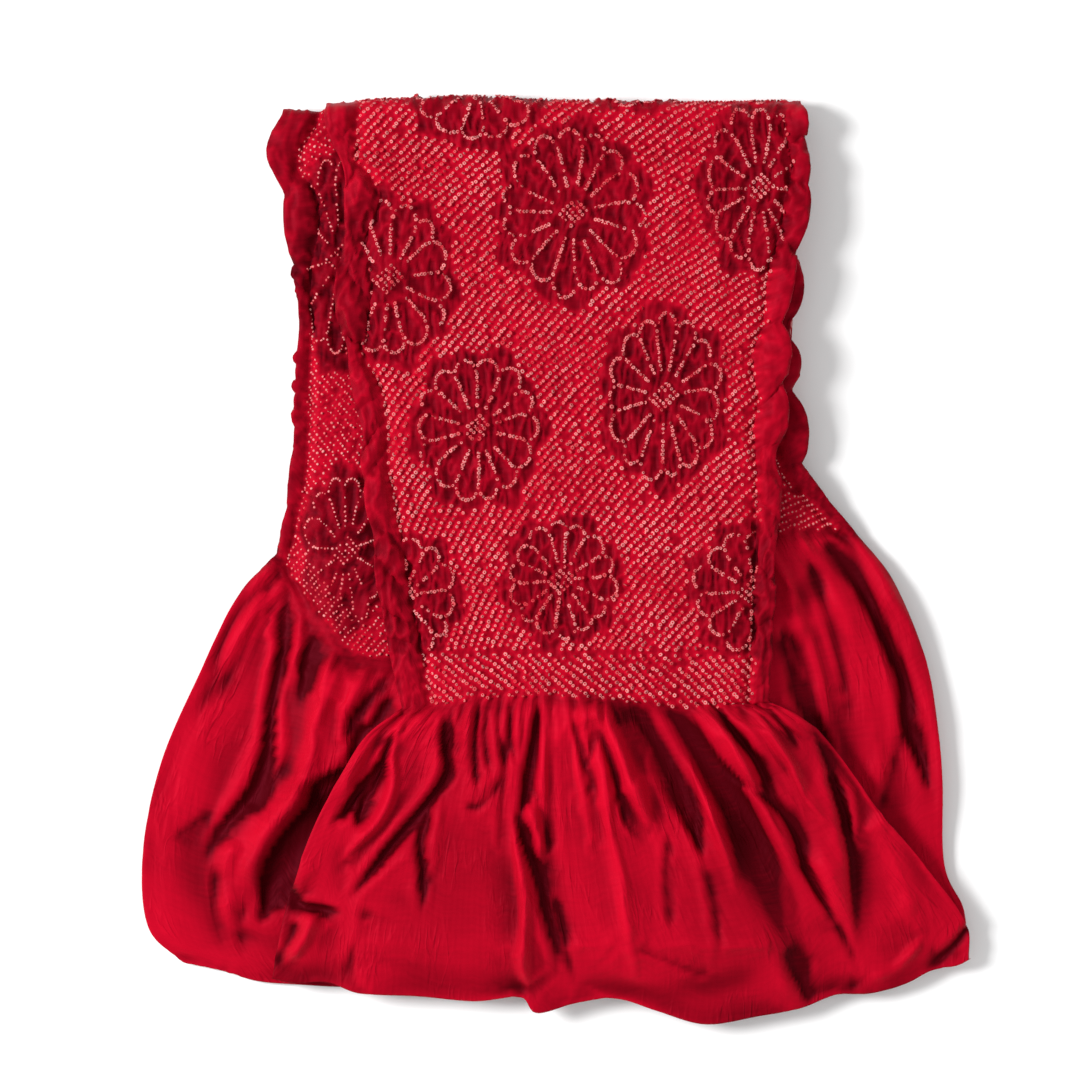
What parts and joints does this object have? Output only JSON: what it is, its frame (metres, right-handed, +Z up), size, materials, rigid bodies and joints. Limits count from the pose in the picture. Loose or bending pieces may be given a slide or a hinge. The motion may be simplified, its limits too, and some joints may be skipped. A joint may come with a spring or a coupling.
{
  "type": "shibori obiage",
  "caption": "Crimson silk sash cloth lying folded in layers, its tied and dotted length flat and both plain tails gathered and spread at the foot.",
  "frame": {"origin": "middle of the cloth's box, on the surface it lies on", "axes": "+Y from the spread tails towards the top folds, +X to the right seen from above, +Z up from the surface"},
  "size_m": [0.3118, 0.3477, 0.0228],
  "materials": {
    "silk": "soft silk with a low sheen"
  },
  "bodies": {
    "root": {"obiage": "silk"}
  },
  "joints": []
}
